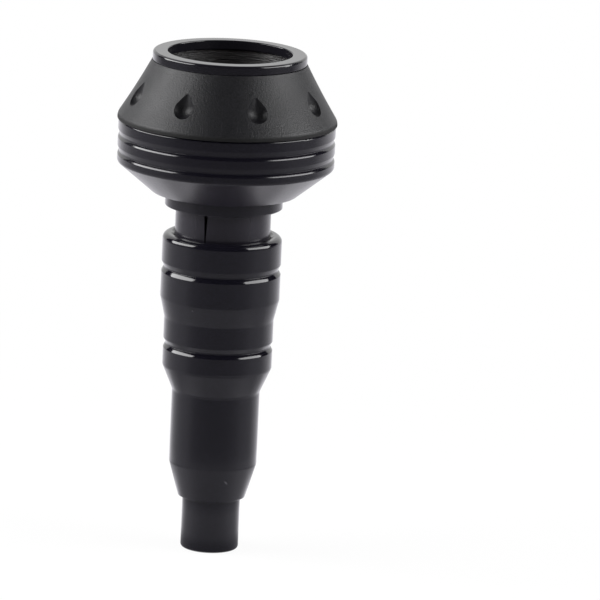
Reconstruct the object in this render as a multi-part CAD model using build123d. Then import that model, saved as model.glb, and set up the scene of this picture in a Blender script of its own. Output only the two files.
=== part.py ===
from build123d import *
import math
import os

# A turned exhaust slider for a motorbike: a stepped stem stands on its narrow foot,
# and a cup with a nylon crash head rides in the stem's socket on a split spigot.
# Millimetres, +Z up along the axis, origin at the centre of the foot's flat face.

# Fixing bolt that the stem is made for
bolt_bore_radius = 5.25
bolt_head_pocket_radius = 8.75
bolt_seat_height = 48.0

# Fits and clearances
slide_clearance = 0.08
bead_clearance = 0.1
stop_clearance = 0.05
fixed_clearance = 0.03

# Split spigot: neck, flange, snap bead and threaded shank
neck_radius = 13.2
spigot_bore_radius = 9.5
spigot_insert_length = 19.5
flange_overhang = 3.1
flange_height = 3.9
bead_depth = 0.3
bead_height = 2.0
shank_wall = 2.5
slit_width = 1.05
slit_closed_width = 0.35
slit_angle = -21.0

# How far the head can be driven in before its flange lands on the stem
head_travel = 7.85
landing_gap = 0.1
buffer_gap = 0.4

# Stem walls, which set its outer radii round the bores
foot_wall = 2.8
waist_wall = 3.45
socket_wall = 1.6
shoulder_step = 1.35
waist_step = 1.3

# Stem lengths, from the foot upwards
foot_length = 15.0
foot_taper_length = 9.7
waist_length = 20.5
waist_taper_length = 6.9
lower_band_length = 4.95
lower_groove_rise = 1.1
lower_groove_fall = 1.2
upper_band_length = 5.95
shoulder_taper_length = 5.9
shoulder_band_length = 7.05
upper_groove_rise = 1.2
upper_groove_fall = 1.3
groove_floor_height = 0.4
collar_length = 7.85

# Stem edges
groove_depth = 0.62
groove_shoulder_round = 0.35
groove_floor_round = 0.2
taper_blend = 2.0
collar_round = 1.6
foot_round = 1.0
foot_step_blend = 0.6
bore_chamfer = 0.6
socket_chamfer = 0.9

# Small round that breaks each turned outer edge
edge_round = 0.25

# Ribbed cup
cup_floor_thickness = 6.5
cup_floor_margin = 3.8
cup_floor_round = 0.8
bowl_height = 8.1
bowl_edge_round = 1.0
lower_rib_height = 1.85
middle_rib_height = 2.3
top_rib_height = 3.0
rib_groove_rise = 0.85
rib_groove_floor_height = 0.4
rib_groove_fall = 1.15
rib_groove_depth = 0.4
cup_wall = 4.0
cup_rim_round = 0.6

# Nylon crash head
plug_wall = 8.1
lip_overhang = 0.35
lip_height = 0.95
lip_land = 0.05
lip_edge_round = 0.1
cone_height = 15.6
cone_hollow = 0.38
cone_hollow_share = 0.85
mouth_wall_gap = 0.7
plug_edge_round = 0.4

# Teardrop dimples round the crash head
dimple_count = 8
dimple_turn = 18.0
dimple_ball_radius = 3.3
dimple_depth = 1.85
dimple_tip_radius = 0.9
dimple_tip_depth = 0.35
dimple_length = 7.4
dimple_base_margin = 4.4

# End ring
ring_hole_radius = 17.2
ring_width = 4.1
ring_height = 2.65
ring_shoulder_round = 0.7
ring_edge_round = 0.3
ring_seat_margin = 0.1
skirt_inset = 1.8
skirt_wall = 1.2
skirt_depth = 4.0

# Radii that follow from the fits and walls
socket_radius = neck_radius + slide_clearance
bead_radius = neck_radius + bead_depth
undercut_radius = bead_radius + bead_clearance
flange_radius = neck_radius + flange_overhang
shank_radius = spigot_bore_radius + shank_wall
foot_radius = bolt_bore_radius + foot_wall
foot_taper_radius = foot_radius + waist_step
waist_radius = bolt_head_pocket_radius + waist_wall
band_radius = undercut_radius + socket_wall
collar_radius = band_radius + shoulder_step
ring_radius = ring_hole_radius + ring_width
skirt_inner_radius = ring_hole_radius + skirt_inset
mouth_radius = ring_hole_radius + mouth_wall_gap
pocket_radius = mouth_radius + plug_wall
rib_radius = pocket_radius + cup_wall
cup_floor_radius = flange_radius + cup_floor_margin
lip_radius = rib_radius + lip_overhang
cone_top_radius = ring_radius + ring_seat_margin
cone_middle_radius = (lip_radius + cone_top_radius) / 2 - cone_hollow

# Rounds of the cone: the lip's takes up its height, and the hollow's takes up its share of the flank
lip_turn = math.atan2(lip_radius - cone_middle_radius, cone_height / 2)
lip_round = (lip_height - lip_edge_round - lip_land) / math.tan(lip_turn / 2)
cone_slant = math.hypot(cone_height, lip_radius - cone_top_radius)
cone_bend = cone_hollow * cone_height / cone_slant
cone_hollow_round = cone_hollow_share * cone_slant**2 / (4 * cone_bend)

# Heights on the stem, counted up from the foot
foot_taper_z = foot_length
waist_z = foot_taper_z + foot_taper_length
waist_taper_z = waist_z + waist_length
lower_band_z = waist_taper_z + waist_taper_length
lower_groove_z = lower_band_z + lower_band_length
lower_floor_z = lower_groove_z + lower_groove_rise
upper_band_z = lower_floor_z + groove_floor_height + lower_groove_fall
shoulder_taper_z = upper_band_z + upper_band_length
shoulder_band_z = shoulder_taper_z + shoulder_taper_length
upper_groove_z = shoulder_band_z + shoulder_band_length
upper_floor_z = upper_groove_z + upper_groove_rise
collar_z = upper_floor_z + groove_floor_height + upper_groove_fall
stem_top_z = collar_z + collar_length

# Heights on the sliding head, counted up from the stem's top
rib_groove_height = rib_groove_rise + rib_groove_floor_height + rib_groove_fall
flange_z = stem_top_z + head_travel + landing_gap
spigot_end_z = stem_top_z - spigot_insert_length
bead_top_z = spigot_end_z + bead_height
socket_floor_z = spigot_end_z - head_travel - buffer_gap
cup_floor_z = flange_z + flange_height
cup_inner_z = cup_floor_z + cup_floor_thickness
bowl_top_z = cup_floor_z + bowl_height
first_groove_z = bowl_top_z + lower_rib_height
middle_rib_z = first_groove_z + rib_groove_height
second_groove_z = middle_rib_z + middle_rib_height
top_rib_z = second_groove_z + rib_groove_height
cup_top_z = top_rib_z + top_rib_height
cone_base_z = cup_top_z + lip_height
cone_middle_z = cone_base_z + cone_height / 2
cone_top_z = cone_base_z + cone_height
ring_top_z = cone_top_z + ring_height


def turned(*corners):
    """Turn an outline once round the axis.

    A corner is its radius and height, with the size of its round where it has one.
    """
    points = [corner[:2] for corner in corners]
    rounds = [corner[2] if len(corner) == 3 else 0 for corner in corners]
    outline = FilletPolyline(*points, radius=rounds, close=True)
    return revolve(make_face(Plane.XZ * outline), Axis.Z, 360)


# Stem

def groove(radius, start_z, floor_z, end_z):
    """Corners of a groove with sloped sides and a narrow floor, from its lower edge up."""
    floor_radius = radius - groove_depth
    return [
        (radius, start_z, groove_shoulder_round),
        (floor_radius, floor_z, groove_floor_round),
        (floor_radius, floor_z + groove_floor_height, groove_floor_round),
        (radius, end_z, edge_round),
    ]


def stem_outside():
    """The stepped outside, from the foot's face up to the rounded collar."""
    return turned(
        (0, 0),
        (foot_radius, 0, foot_round),
        (foot_radius, foot_taper_z, foot_step_blend),
        (foot_taper_radius, foot_taper_z, edge_round),
        (waist_radius, waist_z, taper_blend),
        (waist_radius, waist_taper_z, taper_blend),
        (band_radius, lower_band_z, taper_blend),
        *groove(band_radius, lower_groove_z, lower_floor_z, upper_band_z),
        (band_radius, shoulder_taper_z, taper_blend),
        (collar_radius, shoulder_band_z, taper_blend),
        *groove(collar_radius, upper_groove_z, upper_floor_z, collar_z),
        (collar_radius, stem_top_z, collar_round),
        (0, stem_top_z),
    )


def stem_hollow():
    """Socket with its undercut, pocket for the bolt's head, and the bolt's bore."""
    return turned(
        (0, 0),
        (bolt_bore_radius + bore_chamfer, 0),
        (bolt_bore_radius, bore_chamfer),
        (bolt_bore_radius, bolt_seat_height),
        (bolt_head_pocket_radius, bolt_seat_height),
        (bolt_head_pocket_radius, socket_floor_z),
        (undercut_radius, socket_floor_z),
        (undercut_radius, bead_top_z + stop_clearance),
        (socket_radius, bead_top_z + stop_clearance),
        (socket_radius, stem_top_z - socket_chamfer),
        (socket_radius + socket_chamfer, stem_top_z),
        (0, stem_top_z),
    )


def make_stem():
    return stem_outside() - stem_hollow()


# Split spigot

def spigot_body():
    """Neck with a snap bead below, a flange above it and a shank on top."""
    return turned(
        (spigot_bore_radius, spigot_end_z),
        (neck_radius - bead_depth, spigot_end_z),
        (bead_radius, spigot_end_z + bead_height / 2),
        (bead_radius, bead_top_z),
        (neck_radius, bead_top_z),
        (neck_radius, flange_z),
        (flange_radius, flange_z, edge_round),
        (flange_radius, cup_floor_z),
        (shank_radius, cup_floor_z),
        (shank_radius, cup_inner_z),
        (spigot_bore_radius, cup_inner_z),
    )


def spigot_slit():
    """One slot through the wall, pressed nearly shut where the neck is inside the socket."""
    half_open = slit_width / 2
    half_closed = slit_closed_width / 2
    outline = Polyline(
        (half_open, flange_z),
        (half_closed, stem_top_z),
        (half_closed, spigot_end_z),
        (-half_closed, spigot_end_z),
        (-half_closed, stem_top_z),
        (-half_open, flange_z),
        close=True,
    )
    reach = bead_radius + slit_width
    return Rot(0, 0, slit_angle) * extrude(Plane.XZ * make_face(outline), reach)


def make_spigot():
    return spigot_body() - spigot_slit()


# Ribbed cup

def rib_groove(start_z):
    """Corners of one groove between two ribs, from its lower edge up."""
    floor_radius = rib_radius - rib_groove_depth
    floor_z = start_z + rib_groove_rise
    return [
        (rib_radius, start_z, edge_round),
        (floor_radius, floor_z, groove_floor_round),
        (floor_radius, floor_z + rib_groove_floor_height, groove_floor_round),
        (rib_radius, start_z + rib_groove_height, edge_round),
    ]


def make_ribbed_cup():
    """Conical bowl below, three ribs with grooves above, and a pocket for the head."""
    hole_radius = shank_radius + fixed_clearance
    return turned(
        (hole_radius, cup_floor_z),
        (cup_floor_radius, cup_floor_z, cup_floor_round),
        (rib_radius, bowl_top_z, bowl_edge_round),
        *rib_groove(first_groove_z),
        *rib_groove(second_groove_z),
        (rib_radius, cup_top_z, cup_rim_round),
        (pocket_radius, cup_top_z),
        (pocket_radius, cup_inner_z),
        (hole_radius, cup_inner_z),
    )


# Nylon crash head

def head_body():
    """Slightly hollow flank above a rounded lip, and a plug that sits in the cup's pocket."""
    plug_radius = pocket_radius - fixed_clearance
    groove_inner = skirt_inner_radius - fixed_clearance
    groove_outer = skirt_inner_radius + skirt_wall + fixed_clearance
    groove_z = cone_top_z - skirt_depth - fixed_clearance
    return turned(
        (lip_radius, cup_top_z, lip_edge_round),
        (lip_radius, cone_base_z, lip_round),
        (cone_middle_radius, cone_middle_z, cone_hollow_round),
        (cone_top_radius, cone_top_z),
        (groove_outer, cone_top_z),
        (groove_outer, groove_z),
        (groove_inner, groove_z),
        (groove_inner, cone_top_z),
        (mouth_radius, cone_top_z),
        (mouth_radius, cup_inner_z),
        (plug_radius, cup_inner_z, plug_edge_round),
        (plug_radius, cup_top_z),
    )


def cap_radius(ball_radius, depth):
    """Radius of the opening that a ball leaves when it is sunk to a depth."""
    return math.sqrt(ball_radius**2 - (ball_radius - depth)**2)


def teardrop_cutter():
    """A large ball and a small one with a cone drawn tightly over both.

    The small ball's centre hangs over the origin. Local X runs down the flank
    and local Z points out of it. Both balls hang so that only their caps cut in.
    """
    lift = dimple_ball_radius - dimple_depth
    tip_lift = dimple_tip_radius - dimple_tip_depth
    along = dimple_length - cap_radius(dimple_ball_radius, dimple_depth)
    along -= cap_radius(dimple_tip_radius, dimple_tip_depth)
    apart = math.hypot(along, lift - tip_lift)
    lean = math.asin((dimple_ball_radius - dimple_tip_radius) / apart)
    tip_touch = (-dimple_tip_radius * math.sin(lean), dimple_tip_radius * math.cos(lean))
    touch = (apart - dimple_ball_radius * math.sin(lean), dimple_ball_radius * math.cos(lean))
    outline = (
        TangentArc((-dimple_tip_radius, 0), tip_touch, tangent=(0, 1))
        + Line(tip_touch, touch)
        + ThreePointArc(touch, (apart, dimple_ball_radius), (apart + dimple_ball_radius, 0))
        + Line((apart + dimple_ball_radius, 0), (-dimple_tip_radius, 0))
    )
    drop = revolve(make_face(outline), Axis.X, 360)
    slope = math.degrees(math.asin((lift - tip_lift) / apart))
    return Pos(0, 0, tip_lift) * Rot(0, -slope, 0) * drop


def dimples():
    """The ring of teardrops, each with its narrow end up the flank."""
    flank = Vector(lip_radius - cone_top_radius, 0, -cone_height).normalized()
    outward = Vector(cone_height, 0, lip_radius - cone_top_radius).normalized()
    base = Vector(lip_radius, 0, cone_base_z)
    climb = dimple_base_margin + dimple_length - cap_radius(dimple_tip_radius, dimple_tip_depth)
    place = base - flank * climb - outward * (cone_hollow / 2)
    cutter = Plane(origin=place, x_dir=flank, z_dir=outward) * teardrop_cutter()
    step = 360 / dimple_count
    return [
        Rot(0, 0, dimple_turn - 90 + step * number) * cutter
        for number in range(dimple_count)
    ]


def make_crash_head():
    return head_body() - dimples()


# End ring

def make_end_ring():
    """Flat ring with a skirt below that sits in the groove of the crash head."""
    skirt_outer_radius = skirt_inner_radius + skirt_wall
    return turned(
        (ring_hole_radius, cone_top_z, ring_edge_round),
        (skirt_inner_radius, cone_top_z),
        (skirt_inner_radius, cone_top_z - skirt_depth),
        (skirt_outer_radius, cone_top_z - skirt_depth),
        (skirt_outer_radius, cone_top_z),
        (ring_radius, cone_top_z, ring_edge_round),
        (ring_radius, ring_top_z, ring_shoulder_round),
        (ring_hole_radius, ring_top_z, ring_edge_round),
    )


# Write one file for each piece
pieces = {
    "stem": make_stem(),
    "spigot": make_spigot(),
    "ribbed_cup": make_ribbed_cup(),
    "crash_head": make_crash_head(),
    "end_ring": make_end_ring(),
}

os.makedirs("parts", exist_ok=True)
for name, shape in pieces.items():
    export_step(shape, f"parts/{name}.step")
    print(name, round(shape.volume), "mm3", shape.bounding_box())
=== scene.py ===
# %% [markdown]
# # Exhaust slider, dressed for a studio photograph
#
# The object is a crash protector for a motorbike's exhaust. A turned aluminium stem stands on its narrow foot.
# A split spigot slides in the stem's socket and carries the head: a ribbed aluminium cup, a nylon cone with
# dimples, and an aluminium ring round the mouth. All the shapes come from the CAD frame, where each was
# turned from its outline, so nothing is modelled again here. This lesson gives the shapes their surfaces,
# their light and their camera.

# %% Load the frame
import math

import bpy
from mathutils import Matrix, Vector

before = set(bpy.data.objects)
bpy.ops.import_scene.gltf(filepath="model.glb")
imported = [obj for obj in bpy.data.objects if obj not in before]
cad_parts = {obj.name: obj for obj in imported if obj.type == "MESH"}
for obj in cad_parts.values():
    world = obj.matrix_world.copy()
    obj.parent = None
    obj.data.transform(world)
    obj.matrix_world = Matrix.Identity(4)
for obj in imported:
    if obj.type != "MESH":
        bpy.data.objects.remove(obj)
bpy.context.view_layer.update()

mm_per_metre = 1000.0
print("nodes:", sorted(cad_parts))

# %% [markdown]
# ## Small helpers
#
# A colour is picked on screen as an sRGB hex value, but a shader works with linear light, so one function
# turns the one into the other. With the view transform set to Standard, a colour then renders about as it is
# written. Every material below is a tree of nodes, and a second function adds a node with its settings and
# links.

# %% Colour and node helpers
bpy.context.scene.view_settings.view_transform = "Standard"
white = (1, 1, 1, 1)


def linear(code):
    """An sRGB hex value as the linear colour that a shader socket takes."""
    channels = [int(code[k:k + 2], 16) / 255 for k in (1, 3, 5)]
    curve = [c / 12.92 if c <= 0.04045 else ((c + 0.055) / 1.055) ** 2.4 for c in channels]
    return (*curve, 1.0)


def add(tree, kind, inputs=None, **settings):
    """A new node, with its settings, and with each named or numbered input set or linked."""
    made = tree.nodes.new(kind)
    for name, value in settings.items():
        setattr(made, name, value)
    for name, value in (inputs or {}).items():
        if isinstance(value, bpy.types.NodeSocket):
            tree.links.new(value, made.inputs[name])
        else:
            made.inputs[name].default_value = value
    return made


def empty_material(name):
    """A new material whose node tree is empty."""
    material = bpy.data.materials.new(name)
    material.use_nodes = True
    material.node_tree.nodes.clear()
    return material


print("a mid grey is", [round(value, 3) for value in linear("#808080")])

# %% [markdown]
# Everything on this object is turned, so much of what follows changes with the distance from its axis. That
# distance is the length of a place's vector once its height is taken out.

# %% Distance from the axis
def from_axis(tree, place):
    """How far a place is from the upright axis through the slider, in metres."""
    level = add(tree, "ShaderNodeVectorMath", {0: place, 1: (1, 1, 0)}, operation="MULTIPLY")
    return add(tree, "ShaderNodeVectorMath", {0: level.outputs[0]}, operation="LENGTH").outputs["Value"]


# %% [markdown]
# ## The camera
#
# The photograph was taken from about two metres with a long lens: the ellipses of the turned edges hardly
# change from foot to head. The camera looks down by about twelve and a half degrees, and it is rolled a
# little, so the slider leans to the right in the picture. The rotation is put together from three plain
# turns, which are easier to correct one by one than a single matrix.

# %% Place the camera
camera_place = Vector((0.0, -2.0, 0.51775))
look_down = math.radians(12.576)
look_right = math.radians(0.637)
roll = math.radians(2.62)
sensor_mm = 36.0
lens_mm = 443.9

camera_data = bpy.data.cameras.new("studio_camera")
camera_data.sensor_width = sensor_mm
camera_data.lens = lens_mm
camera = bpy.data.objects.new("studio_camera", camera_data)
bpy.context.scene.collection.objects.link(camera)
turns = Matrix.Rotation(-look_right, 4, "Z") @ Matrix.Rotation(math.pi / 2 - look_down, 4, "X")
camera.matrix_world = Matrix.Translation(camera_place) @ turns @ Matrix.Rotation(roll, 4, "Z")
bpy.context.scene.camera = camera
print("camera at", [round(value, 3) for value in camera_place], "with a lens of", lens_mm, "mm")

# %% [markdown]
# ## The table
#
# The slider stands on a white table that runs out of the picture. A white that is only lit never gets quite
# even, so part of its brightness is the table's own: a mix of a plain white surface, which keeps the slider's
# soft shadow, and an even white of strength one. That even white is shown only to the camera and to
# reflections, so it adds no light to the slider. Its share grows with the distance from the slider.

# %% White that only the camera and reflections see
def shown_directly(tree):
    """One where a ray comes from the camera or a reflection, and nought where it carries light."""
    path = add(tree, "ShaderNodeLightPath")
    seen = path.outputs["Is Camera Ray"]
    for kind in ("Is Glossy Ray", "Is Transmission Ray"):
        seen = add(tree, "ShaderNodeMath", {0: seen, 1: path.outputs[kind]}, operation="MAXIMUM").outputs[0]
    return seen


even_white_share = 0.93
even_from = 0.05           # Distances from the slider, in metres.
even_to = 0.30
table_material = empty_material("white_studio_table")
tree = table_material.node_tree
place = add(tree, "ShaderNodeTexCoord").outputs["Object"]
distance = add(tree, "ShaderNodeVectorMath", {0: place}, operation="LENGTH").outputs["Value"]
evenness = add(tree, "ShaderNodeMapRange", {"Value": distance, "From Min": even_from, "From Max": even_to,
                                            "To Min": even_white_share, "To Max": 1.0})
share = add(tree, "ShaderNodeMath", {0: shown_directly(tree), 1: evenness.outputs[0]}, operation="MULTIPLY")
lit = add(tree, "ShaderNodeBsdfDiffuse", {"Color": linear("#f4f4f4")})
even = add(tree, "ShaderNodeEmission", {"Color": white, "Strength": 1.0})
mixed = add(tree, "ShaderNodeMixShader", {0: share.outputs[0], 1: lit.outputs[0], 2: even.outputs[0]})
add(tree, "ShaderNodeOutputMaterial", {"Surface": mixed.outputs[0]})
print("the table's own white has a share of", even_white_share, "at the slider")

# %% The table itself
table_width = 6.0
bpy.ops.object.select_all(action="DESELECT")
bpy.ops.mesh.primitive_plane_add(size=table_width, location=(0, 0, 0))
table = bpy.context.active_object
table.name = "white_table"
table.data.materials.append(table_material)
print("the table is", table.dimensions.x, "m wide")

# %% [markdown]
# ## The room
#
# Behind the slider the studio is white, and in front it is dark. A gloss black part shows little but that
# room: its middle mirrors the dark front, and its edges mirror the white back. The white back is the world.
# It fills the shadows only weakly, and looks fully white to the camera and to reflections.

# %% White room
fill_strength = 0.30
world = bpy.data.worlds.new("white_room")
bpy.context.scene.world = world
world.use_nodes = True
tree = world.node_tree
tree.nodes.clear()
strength = add(tree, "ShaderNodeMapRange", {"Value": shown_directly(tree), "To Min": fill_strength,
                                            "To Max": 1.0})
background = add(tree, "ShaderNodeBackground", {"Color": white, "Strength": strength.outputs[0]})
add(tree, "ShaderNodeOutputWorld", {"Surface": background.outputs[0]})
print("the room fills the shadows with a strength of", fill_strength)

# %% [markdown]
# The dark things in a studio are stood there as cards. Here too they are flat planes, and only reflections
# meet them: they take no light away, cast no shadow, and no camera sees them. Their tone is a glow of their
# own, so it doesn't depend on the lamps.

# %% Cards
def card(name, material, centre, size, turn=(0, 0, 0)):
    """A flat card that only reflections meet."""
    bpy.ops.object.select_all(action="DESELECT")
    bpy.ops.mesh.primitive_plane_add(size=1.0, location=centre, rotation=turn)
    made = bpy.context.active_object
    made.name = name
    made.scale = (*size, 1)
    bpy.ops.object.transform_apply(location=True, rotation=True, scale=True)
    made.data.materials.append(material)
    made.visible_camera = False
    made.visible_diffuse = False
    made.visible_shadow = False
    return made


def glow_material(name, colour, brightness):
    """A glow of its own, whose colour is a hex value, or a function that draws a pattern."""
    material = empty_material(name)
    tree = material.node_tree
    value = colour(tree) if callable(colour) else linear(colour)
    glow = add(tree, "ShaderNodeEmission", {"Color": value, "Strength": brightness})
    add(tree, "ShaderNodeOutputMaterial", {"Surface": glow.outputs[0]})
    return material


dark = glow_material("dark_room", "#0b0b0c", 1.0)
print("cards can glow as", dark.name)

# %% [markdown]
# ## The table as reflections see it
#
# Each band and taper of a turned gloss part mirrors another ring of the table, and each direction round the
# part another side of the room. So the mirrored table gets a tone for each direction, in three zones: near
# the slider, further out to the left and right, and far away. Lists of tones were chosen over many small
# lamps, because the eye reads them as one room with soft changes.

# %% Tones by direction
# Each list runs from the front round to the back: an angle in degrees, and the tone of the table there.
near_tones = ((0, 0.40), (34, 0.43), (52, 0.50), (72, 0.60), (104, 0.62), (118, 0.76), (134, 0.95),
              (150, 1.10))
left_tones = ((0, 0.24), (34, 0.27), (52, 0.34), (72, 0.58), (104, 0.64), (118, 0.71), (134, 0.92),
              (150, 1.15))
right_tones = ((0, 0.24), (34, 0.27), (52, 0.34), (72, 0.50), (104, 0.54), (118, 0.76), (134, 0.98),
               (150, 1.10))
far_left_tones = ((0, 0.08), (34, 0.09), (52, 0.13), (72, 0.27), (90, 0.27), (120, 0.18), (136, 0.61),
                  (150, 1.15))
far_right_tones = ((0, 0.08), (34, 0.09), (52, 0.13), (72, 0.30), (90, 0.30), (105, 0.20), (120, 0.60),
                   (136, 1.0))
brightest_tone = 1.25


def direction_stops(tones):
    """Places along a ramp that runs from nought in front to one at the back, each with its grey."""
    return [((1 - math.cos(math.radians(angle))) / 2, tone / brightest_tone) for angle, tone in tones]


zones = [direction_stops(tones) for tones in (near_tones, left_tones, right_tones, far_left_tones,
                                              far_right_tones)]
print("tones for", len(zones), "zones, with", [len(stops) for stops in zones], "stops")

# %% Tones by distance
# Close to the foot the mirrored table gets painted shade and light that change with the distance:
# millimetres from the axis, and a share.
close_reach_mm = 125.0
close_shares = ((0, 0.55), (14, 0.65), (24, 1.12), (36, 1.20), (46, 1.25), (62, 0.78), (84, 0.80),
                (95, 1.18), (125, 1.18))
largest_share = 2.0
close_stops = [(far_mm / close_reach_mm, share / largest_share) for far_mm, share in close_shares]


def zone_tones(tree, place, distance):
    """The tone of each zone at a place on the mirrored table."""
    depth = add(tree, "ShaderNodeSeparateXYZ", {0: place}).outputs["Y"]
    back = add(tree, "ShaderNodeMath", {0: depth, 1: distance}, operation="DIVIDE")
    turn = add(tree, "ShaderNodeMapRange", {"Value": back.outputs[0], "From Min": -1.0, "From Max": 1.0})
    reach = add(tree, "ShaderNodeMath", {0: distance, 1: mm_per_metre / close_reach_mm},
                operation="MULTIPLY")
    tones = []
    for factor, stops in [(turn, stops) for stops in zones] + [(reach, close_stops)]:
        ramp = add(tree, "ShaderNodeValToRGB", {"Fac": factor.outputs[0]})
        while len(ramp.color_ramp.elements) < len(stops):
            ramp.color_ramp.elements.new(0.5)
        for stop, (position, grey) in zip(ramp.color_ramp.elements, stops):
            stop.position = position
            stop.color = (grey, grey, grey, 1)
        tones.append(ramp.outputs[0])
    near, *others, close = tones
    shares = add(tree, "ShaderNodeVectorMath", {0: close, "Scale": largest_share}, operation="SCALE")
    near = add(tree, "ShaderNodeMix", {"Factor": 1.0, 6: near, 7: shares.outputs[0]}, data_type="RGBA",
               blend_type="MULTIPLY")
    return [near.outputs[2], *others]


print("the tone close to the foot changes over", close_reach_mm, "mm")

# %% [markdown]
# The zones run into each other: left and right close to the middle, and the others over the distances below.
# The whole gets a touch of violet, and the walls fade to the dark of the front as they rise.

# %% One pattern for table and walls
dark_tone = (0.0035, 0.0035, 0.0038, 1)
room_tint = (1.0, 0.985, 1.04, 1)
near_ends = (0.110, 0.124)     # Distances from the axis, in metres.
far_starts = (0.50, 0.75)
middle_blend = 0.01
dark_above = (0.10, 0.28)      # Heights over the table, in metres.


def room_tones(tree):
    """Dark in front, grey at the sides, white at the back, painted shade and light round the foot, and dark
    high up.
    """
    place = add(tree, "ShaderNodeTexCoord").outputs["Object"]
    apart = add(tree, "ShaderNodeSeparateXYZ", {0: place})
    distance = from_axis(tree, place)
    near, left, right, far_left, far_right = zone_tones(tree, place, distance)
    rightness = add(tree, "ShaderNodeMapRange", {"Value": apart.outputs["X"], "From Min": -middle_blend,
                                                 "From Max": middle_blend})
    middle = add(tree, "ShaderNodeMix", {"Factor": rightness.outputs[0], 6: left, 7: right},
                 data_type="RGBA")
    far = add(tree, "ShaderNodeMix", {"Factor": rightness.outputs[0], 6: far_left, 7: far_right},
              data_type="RGBA")
    away = add(tree, "ShaderNodeMapRange", {"Value": distance, "From Min": far_starts[0],
                                            "From Max": far_starts[1]})
    beyond = add(tree, "ShaderNodeMix", {"Factor": away.outputs[0], 6: middle.outputs[2],
                                         7: far.outputs[2]}, data_type="RGBA")
    out = add(tree, "ShaderNodeMapRange", {"Value": distance, "From Min": near_ends[0],
                                           "From Max": near_ends[1]}, interpolation_type="SMOOTHSTEP")
    whole = add(tree, "ShaderNodeMix", {"Factor": out.outputs[0], 6: near, 7: beyond.outputs[2]},
                data_type="RGBA")
    tinted = add(tree, "ShaderNodeMix", {"Factor": 1.0, 6: whole.outputs[2], 7: room_tint},
                 data_type="RGBA", blend_type="MULTIPLY")
    up = add(tree, "ShaderNodeMapRange", {"Value": apart.outputs["Z"], "From Min": dark_above[0],
                                          "From Max": dark_above[1]})
    return add(tree, "ShaderNodeMix", {"Factor": up.outputs[0], 6: tinted.outputs[2], 7: dark_tone},
               data_type="RGBA").outputs[2]


room_glow = glow_material("room_tones", room_tones, brightest_tone)
print("the room's pattern has", len(room_glow.node_tree.nodes), "nodes")

# %% [markdown]
# One card lies a hair above the table and shows that pattern. Three more stand at the front and the sides
# with the same pattern, and a plain dark one hangs overhead. The back stays open to the white room.

# %% Mirrored table, walls and ceiling
upright = (math.pi / 2, 0, 0)
sideways = (math.pi / 2, 0, math.pi / 2)
table_card = card("reflected_table", room_glow, (0, 0, 0.0004), (3.0, 3.0))
room_card = card("dark_room_front", room_glow, (0, -1.3, 0.9), (3.0, 1.8), upright)
left_wall = card("dark_room_left", room_glow, (-1.5, 0.15, 0.9), (2.9, 1.8), sideways)
right_wall = card("dark_room_right", room_glow, (1.5, 0.15, 0.9), (2.9, 1.8), sideways)
ceiling_card = card("dark_ceiling", dark, (0, -0.1, 1.8), (3.0, 2.4))
cards = (table_card, room_card, left_wall, right_wall, ceiling_card)
print("cards:", [made.name for made in cards])

# %% [markdown]
# ## The softboxes
#
# The crisp white dashes on the turned edges are pictures of two long softboxes, one at each side of the
# slider and a little above it. Their length along the table gives the length of the dashes, and their height
# gives the thickness. Their front ends are tilted up, so that a dash keeps its thickness as it runs round
# the edge. Area lamps were chosen, because one lamp then gives both the light and its reflection.

# %% Two softboxes
softbox_distance = 0.8
aim_height = 0.08


def softbox(name, azimuth, spread, elevation, height, tilt, radiance):
    """A long area lamp at one side, from its place, size and tilt as the slider sees it, in degrees."""
    across = math.radians(azimuth)
    up = math.radians(elevation)
    away = Vector((math.sin(across) * math.cos(up), -math.cos(across) * math.cos(up), math.sin(up)))
    along = Vector((math.cos(across), math.sin(across), 0))
    data = bpy.data.lights.new(name, "AREA")
    data.shape = "RECTANGLE"
    data.size = 2 * softbox_distance * math.tan(math.radians(spread / 2))
    data.size_y = 2 * softbox_distance * math.tan(math.radians(height / 2))
    data.energy = radiance * data.size * data.size_y * math.pi
    lamp = bpy.data.objects.new(name, data)
    bpy.context.scene.collection.objects.link(lamp)
    turn = Matrix((along, away.cross(along), away)).transposed().to_4x4()
    turn = turn @ Matrix.Rotation(math.radians(tilt), 4, "Z")
    lamp.matrix_world = Matrix.Translation(away * softbox_distance + Vector((0, 0, aim_height))) @ turn
    lamp.visible_camera = False
    return lamp


left_box = softbox("softbox_left", azimuth=-89, spread=51, elevation=26.5, height=29.5, tilt=21,
                   radiance=8.6)
right_box = softbox("softbox_right", azimuth=82, spread=50, elevation=26, height=29, tilt=-21,
                    radiance=6.7)
print("softboxes of", [round(lamp.data.energy, 1) for lamp in (left_box, right_box)], "watts")

# %% [markdown]
# ## Gloss black anodised aluminium
#
# The stem, the spigot, the cup and the ring are turned from aluminium bar, polished, anodised and dyed black.
# The dye sits in a clear oxide film, so the eye sees a deep black, a little violet, with a glassy reflection
# on it. The film is a clear solid, so it is shaded as a dark body under a gloss of IOR 1.5, and not as bare
# metal.

# %% Values of the anodised finish
polished_black = "#111017"
satin_black = "#201e25"
oxide_ior = 1.5
satin_roughness = 0.23
satin_edge = 0.0002        # Half the height, in metres, over which polish turns to satin.
print("polished", polished_black, "and satin", satin_black)

# %% [markdown]
# Under the polish a lathe leaves rings that run round the part. They follow its profile: a sum of the height
# and the radius changes along walls, tapers and flat faces alike, so one noise in that sum draws rings on all
# of them. Broader bands and smears from handling change the gloss a little from place to place.

# %% Lathe rings
ring_pitch_mm = 0.45       # The tool's real feed of 0.1 mm is too fine to show, so the rings are drawn coarser.
ring_depth = 0.0000012
radius_share = 0.6         # How much the radius counts beside the height.
band_mm = 6.0
smear_mm = 9.0
duller_by = 0.025
glossier_by = 0.02


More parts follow.
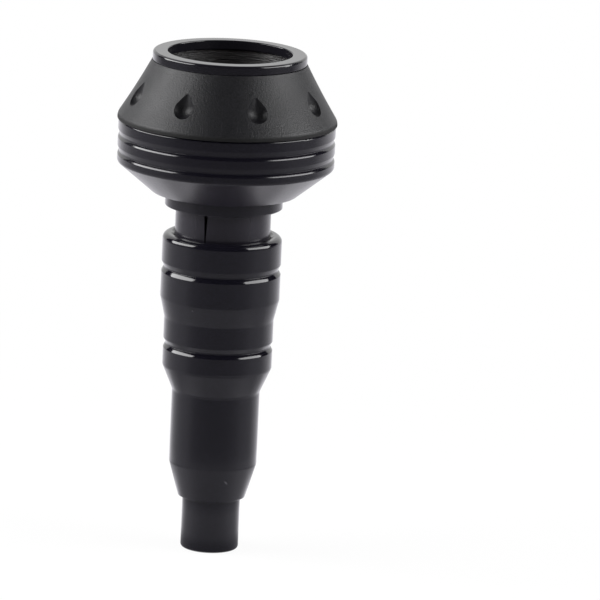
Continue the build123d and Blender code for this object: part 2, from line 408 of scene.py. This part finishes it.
def lathe_marks(tree, place, radius, height, roughness):
    """The rings as a height for bump, and the roughness with its bands and smears."""
    along = add(tree, "ShaderNodeMath", {0: radius, 1: radius_share, 2: height}, operation="MULTIPLY_ADD")
    rings = add(tree, "ShaderNodeTexNoise", {"W": along.outputs[0], "Scale": mm_per_metre / ring_pitch_mm,
                                             "Detail": 3.0, "Roughness": 0.6}, noise_dimensions="1D")
    bands = add(tree, "ShaderNodeTexNoise", {"W": along.outputs[0], "Scale": mm_per_metre / band_mm,
                                             "Detail": 1.0}, noise_dimensions="1D")
    smears = add(tree, "ShaderNodeTexNoise", {"Vector": place, "Scale": mm_per_metre / smear_mm,
                                              "Detail": 3.0})
    worn = add(tree, "ShaderNodeMath", {0: bands.outputs[0], 1: smears.outputs[0]}, operation="ADD")
    level = add(tree, "ShaderNodeMapRange", {"Value": worn.outputs[0], "From Min": 0.7, "From Max": 1.3,
                                             "To Min": roughness - glossier_by,
                                             "To Max": roughness + duller_by})
    return rings.outputs[0], level.outputs[0]


print("lathe rings are drawn", ring_pitch_mm, "mm apart")

# %% [markdown]
# Handling also leaves a few specks of dust and, on the taper above the foot, one small nick, where the dye is
# scratched through. The specks are the middles of Voronoi cells. Each cell draws its own random value, and
# only where that value is high does a speck show.

# %% Dust specks and the nick
speck_grid_mm = 3.6
speck_radius = 0.045       # As a share of the grid, so a speck is at most 0.3 mm across.
speckless_share = 0.72
speck_tone = "#3b3a3f"
nick_tone = "#403f44"
nick_size = (0.0008, 0.003, 0.00027)
nick_turn = (0.0, math.radians(48), 0.0)


def marked(tree, place, tone, nick):
    """A colour with its dust specks, and with a nick where one is given."""
    cells = add(tree, "ShaderNodeTexVoronoi", {"Vector": place, "Scale": mm_per_metre / speck_grid_mm})
    drawn = add(tree, "ShaderNodeSeparateColor", {0: cells.outputs["Color"]})
    size = add(tree, "ShaderNodeMapRange", {"Value": drawn.outputs[0], "From Min": speckless_share,
                                            "From Max": 1.0, "To Min": 0.0, "To Max": speck_radius})
    speck = add(tree, "ShaderNodeMath", {0: cells.outputs["Distance"], 1: size.outputs[0]},
                operation="LESS_THAN")
    colour = add(tree, "ShaderNodeMix", {"Factor": speck.outputs[0], 6: tone, 7: linear(speck_tone)},
                 data_type="RGBA")
    if nick:
        around = add(tree, "ShaderNodeMapping", {"Vector": place, "Location": nick, "Rotation": nick_turn,
                                                 "Scale": nick_size}, vector_type="TEXTURE")
        reach = add(tree, "ShaderNodeVectorMath", {0: around.outputs[0]}, operation="LENGTH")
        bare = add(tree, "ShaderNodeMapRange", {"Value": reach.outputs["Value"], "From Min": 0.6,
                                                "From Max": 1.0, "To Min": 1.0, "To Max": 0.0})
        colour = add(tree, "ShaderNodeMix", {"Factor": bare.outputs[0], 6: colour.outputs[2],
                                             7: linear(nick_tone)}, data_type="RGBA")
    return colour.outputs[2]


print("specks lie", speck_grid_mm, "mm apart or more")

# %% [markdown]
# Polishing by hand wears the sloped flanks of the grooves slightly hollow. The groove itself is in the CAD
# shape, and its hollow is far too shallow to see as a shape, but a hollow mirror draws a softbox out into a
# longer dash. So the hollow is a bump that grows with the square of the way up the flank.

# %% Polished hollows
stem_flanks = ((0.05705, 0.05815), (0.07865, 0.07985))   # Lowest and highest height, in metres.
cup_flanks = ((0.11120, 0.11205), (0.11590, 0.11675))


def polished_hollows(tree, height, normal, flanks, depth):
    """The normal over the flanks between each low and high, polished hollow to a depth in metres."""
    for low, high in flanks:
        way_up = add(tree, "ShaderNodeMapRange", {"Value": height, "From Min": low, "From Max": high})
        curve = add(tree, "ShaderNodeMath", {0: way_up.outputs[0], 1: 2.0}, operation="POWER")
        hollow = add(tree, "ShaderNodeMath", {0: curve.outputs[0], 1: -depth}, operation="MULTIPLY")
        normal = add(tree, "ShaderNodeBump", {"Height": hollow.outputs[0], "Strength": 1.0,
                                              "Distance": 1.0, "Normal": normal}).outputs[0]
    return normal


print("hollow flanks:", len(stem_flanks), "on the stem and", len(cup_flanks), "on the cup")

# %% [markdown]
# The parts come together in one function, because the four turned pieces differ only in a few values: how
# well they are polished, where satin begins, and which grooves and marks they have.

# %% The whole turned finish
def turned_finish(name, roughness, satin_below=-1.0, body=polished_black, hollows=(), hollow_depth=0.0,
                  nick=None):
    """A turned and anodised finish, satin below a height, with the flanks of its grooves polished hollow."""
    material = empty_material(name)
    tree = material.node_tree
    place = add(tree, "ShaderNodeTexCoord").outputs["Object"]
    height = add(tree, "ShaderNodeSeparateXYZ", {0: place}).outputs["Z"]
    rings, level = lathe_marks(tree, place, from_axis(tree, place), height, roughness)
    satin = add(tree, "ShaderNodeMapRange", {"Value": height, "From Min": satin_below - satin_edge,
                                             "From Max": satin_below + satin_edge,
                                             "To Min": 1.0, "To Max": 0.0})
    gloss = add(tree, "ShaderNodeMix", {0: satin.outputs[0], 2: level, 3: satin_roughness})
    tone = add(tree, "ShaderNodeMix", {"Factor": satin.outputs[0], 6: linear(body), 7: linear(satin_black)},
               data_type="RGBA")
    lift = add(tree, "ShaderNodeBump", {"Height": rings, "Strength": 1.0, "Distance": ring_depth})
    shader = add(tree, "ShaderNodeBsdfPrincipled", {
        "Base Color": marked(tree, place, tone.outputs[2], nick),
        "Metallic": 0.0,
        "Roughness": gloss.outputs[0],
        "IOR": oxide_ior,
        "Normal": polished_hollows(tree, height, lift.outputs[0], hollows, hollow_depth),
    })
    add(tree, "ShaderNodeOutputMaterial", {"Surface": shader.outputs[0]})
    return material


print("satin has a roughness of", satin_roughness, "under an IOR of", oxide_ior)

# %% [markdown]
# ## Four anodised finishes
#
# The stem and the ring are polished all over. The spigot slides in its socket, so below its flange it is
# anodised but not polished, and the cup's bowl is left satin as well. Satin black takes the light of the
# softboxes more evenly, and looks a little lighter than the gloss beside it.

# %% Anodised finishes
flange_bottom = 0.0974     # Heights over the table, in metres.
bowl_top = 0.1092
nick_place = (0.00386, -0.0102, 0.0211)
stem_black = turned_finish("gloss_black_anodised_stem", 0.10, hollows=stem_flanks, hollow_depth=0.00014,
                           nick=nick_place)
spigot_black = turned_finish("black_anodised_spigot", 0.10, satin_below=flange_bottom)
cup_black = turned_finish("black_anodised_cup", 0.15, satin_below=bowl_top, hollows=cup_flanks,
                          hollow_depth=0.00018)
ring_black = turned_finish("violet_black_anodised_ring", 0.11, body="#17161b")
print("anodised finishes:", [made.name for made in (stem_black, spigot_black, cup_black, ring_black)])

# %% [markdown]
# ## Moulded black nylon
#
# The crash head is moulded from black nylon, which slides well on a road. The mould is spark-eroded, and
# leaves a fine, even grain, so the face is matt with a soft sheen. The mouth is bored out afterwards,
# and there the cutter leaves paler streaks that run round the wall. The grain is one noise, used for both the
# speckled colour and the bump, so that its light and its shape agree.

# %% Grain
grain_mm = 0.42            # The real grain of 0.1 to 0.2 mm is finer than a pixel, so it is drawn coarser.
grain_depth = 0.00011
patch_mm = 7.0

nylon = empty_material("moulded_black_nylon")
tree = nylon.node_tree
place = add(tree, "ShaderNodeTexCoord").outputs["Object"]
height = add(tree, "ShaderNodeSeparateXYZ", {0: place}).outputs["Z"]
grain = add(tree, "ShaderNodeTexNoise", {"Vector": place, "Scale": mm_per_metre / grain_mm, "Detail": 2.0,
                                         "Roughness": 0.6})
patches = add(tree, "ShaderNodeTexNoise", {"Vector": place, "Scale": mm_per_metre / patch_mm, "Detail": 2.0})
print("the nylon's grain is drawn", grain_mm, "mm wide")

# %% [markdown]
# The bored wall lies inside a radius and above a height, and two comparisons find it. Its streaks are a noise
# that is stretched round the wall: about 8 mm long and 0.4 mm high.

# %% The bored mouth
bored_within = 0.0182
bored_above = 0.1273
streaks_per_metre = (120.0, 120.0, 2600.0)
streak_depth = 4.5         # As a multiple of the grain's depth.

inside = add(tree, "ShaderNodeMath", {0: from_axis(tree, place), 1: bored_within}, operation="LESS_THAN")
high = add(tree, "ShaderNodeMath", {0: height, 1: bored_above}, operation="GREATER_THAN")
bored = add(tree, "ShaderNodeMath", {0: inside.outputs[0], 1: high.outputs[0]}, operation="MULTIPLY")
squashed = add(tree, "ShaderNodeMapping", {"Vector": place, "Scale": streaks_per_metre})
streaks = add(tree, "ShaderNodeTexNoise", {"Vector": squashed.outputs[0], "Scale": 1.0, "Detail": 3.0,
                                           "Roughness": 0.65})
streak_tone = add(tree, "ShaderNodeMix", {"Factor": streaks.outputs[0], 6: linear("#040404"),
                                          7: linear("#3e3c3d")}, data_type="RGBA")
deep_streaks = add(tree, "ShaderNodeMath", {0: streaks.outputs[0], 1: streak_depth}, operation="MULTIPLY")
print("the bored wall starts", round(mm_per_metre * bored_above, 1), "mm above the table")

# %% [markdown]
# The lip at the foot of the cone turns away under the face. It is duller than the face above, and its colour
# is painted darker as the shade in the gap between the nylon and the cup, so it shows as a dark line there.

# %% Colour of the nylon
lip_top = 0.1227
lip_edge = 0.0006

speckle = add(tree, "ShaderNodeMapRange", {"Value": grain.outputs[0], "From Min": 0.35, "From Max": 0.65})
lip = add(tree, "ShaderNodeMapRange", {"Value": height, "From Min": lip_top - lip_edge,
                                       "From Max": lip_top, "To Min": 1.0, "To Max": 0.0})
face_tone = add(tree, "ShaderNodeMix", {"Factor": speckle.outputs[0], 6: linear("#101013"),
                                        7: linear("#1c1c20")}, data_type="RGBA")
# Painted shade: the lip takes #0c0c0d, the shade of the gap between the nylon and the cup.
face = add(tree, "ShaderNodeMix", {"Factor": lip.outputs[0], 6: face_tone.outputs[2], 7: linear("#0c0c0d")},
           data_type="RGBA")
tone = add(tree, "ShaderNodeMix", {"Factor": bored.outputs[0], 6: face.outputs[2],
                                   7: streak_tone.outputs[2]}, data_type="RGBA")
print("the lip ends", round(mm_per_metre * lip_top, 1), "mm above the table")

# %% Sheen and shader of the nylon
nylon_ior = 1.53
nylon_specular = 0.36
lip_roughness = 0.75
bored_roughness = 0.25

sheen_level = add(tree, "ShaderNodeMapRange", {"Value": patches.outputs[0], "From Min": 0.3,
                                               "From Max": 0.7, "To Min": 0.44, "To Max": 0.50})
matt = add(tree, "ShaderNodeMix", {0: lip.outputs[0], 2: sheen_level.outputs[0], 3: lip_roughness})
sheen = add(tree, "ShaderNodeMix", {0: bored.outputs[0], 2: matt.outputs[0], 3: bored_roughness})
relief = add(tree, "ShaderNodeMix", {0: bored.outputs[0], 2: grain.outputs[0], 3: deep_streaks.outputs[0]})
lift = add(tree, "ShaderNodeBump", {"Height": relief.outputs[0], "Strength": 1.0, "Distance": grain_depth})
shader = add(tree, "ShaderNodeBsdfPrincipled", {
    "Base Color": tone.outputs[2],
    "Metallic": 0.0,
    "Roughness": sheen.outputs[0],
    "IOR": nylon_ior,
    "Specular IOR Level": nylon_specular,
    "Normal": lift.outputs[0],
})
add(tree, "ShaderNodeOutputMaterial", {"Surface": shader.outputs[0]})
print("the nylon has", len(tree.nodes), "nodes")

# %% [markdown]
# ## The finishes on the pieces
#
# The frame's nodes already carry material slots, one on each piece. Each slot takes the finish of its piece,
# and the meshes stay as the CAD model made them.

# %% Give each node its finish
finishes = {"stem": stem_black, "spigot": spigot_black, "ribbed_cup": cup_black, "end_ring": ring_black,
            "crash_head": nylon}
for name, finish in finishes.items():
    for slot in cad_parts[name].material_slots:
        slot.material = finish
print({name: finish.name for name, finish in finishes.items()})
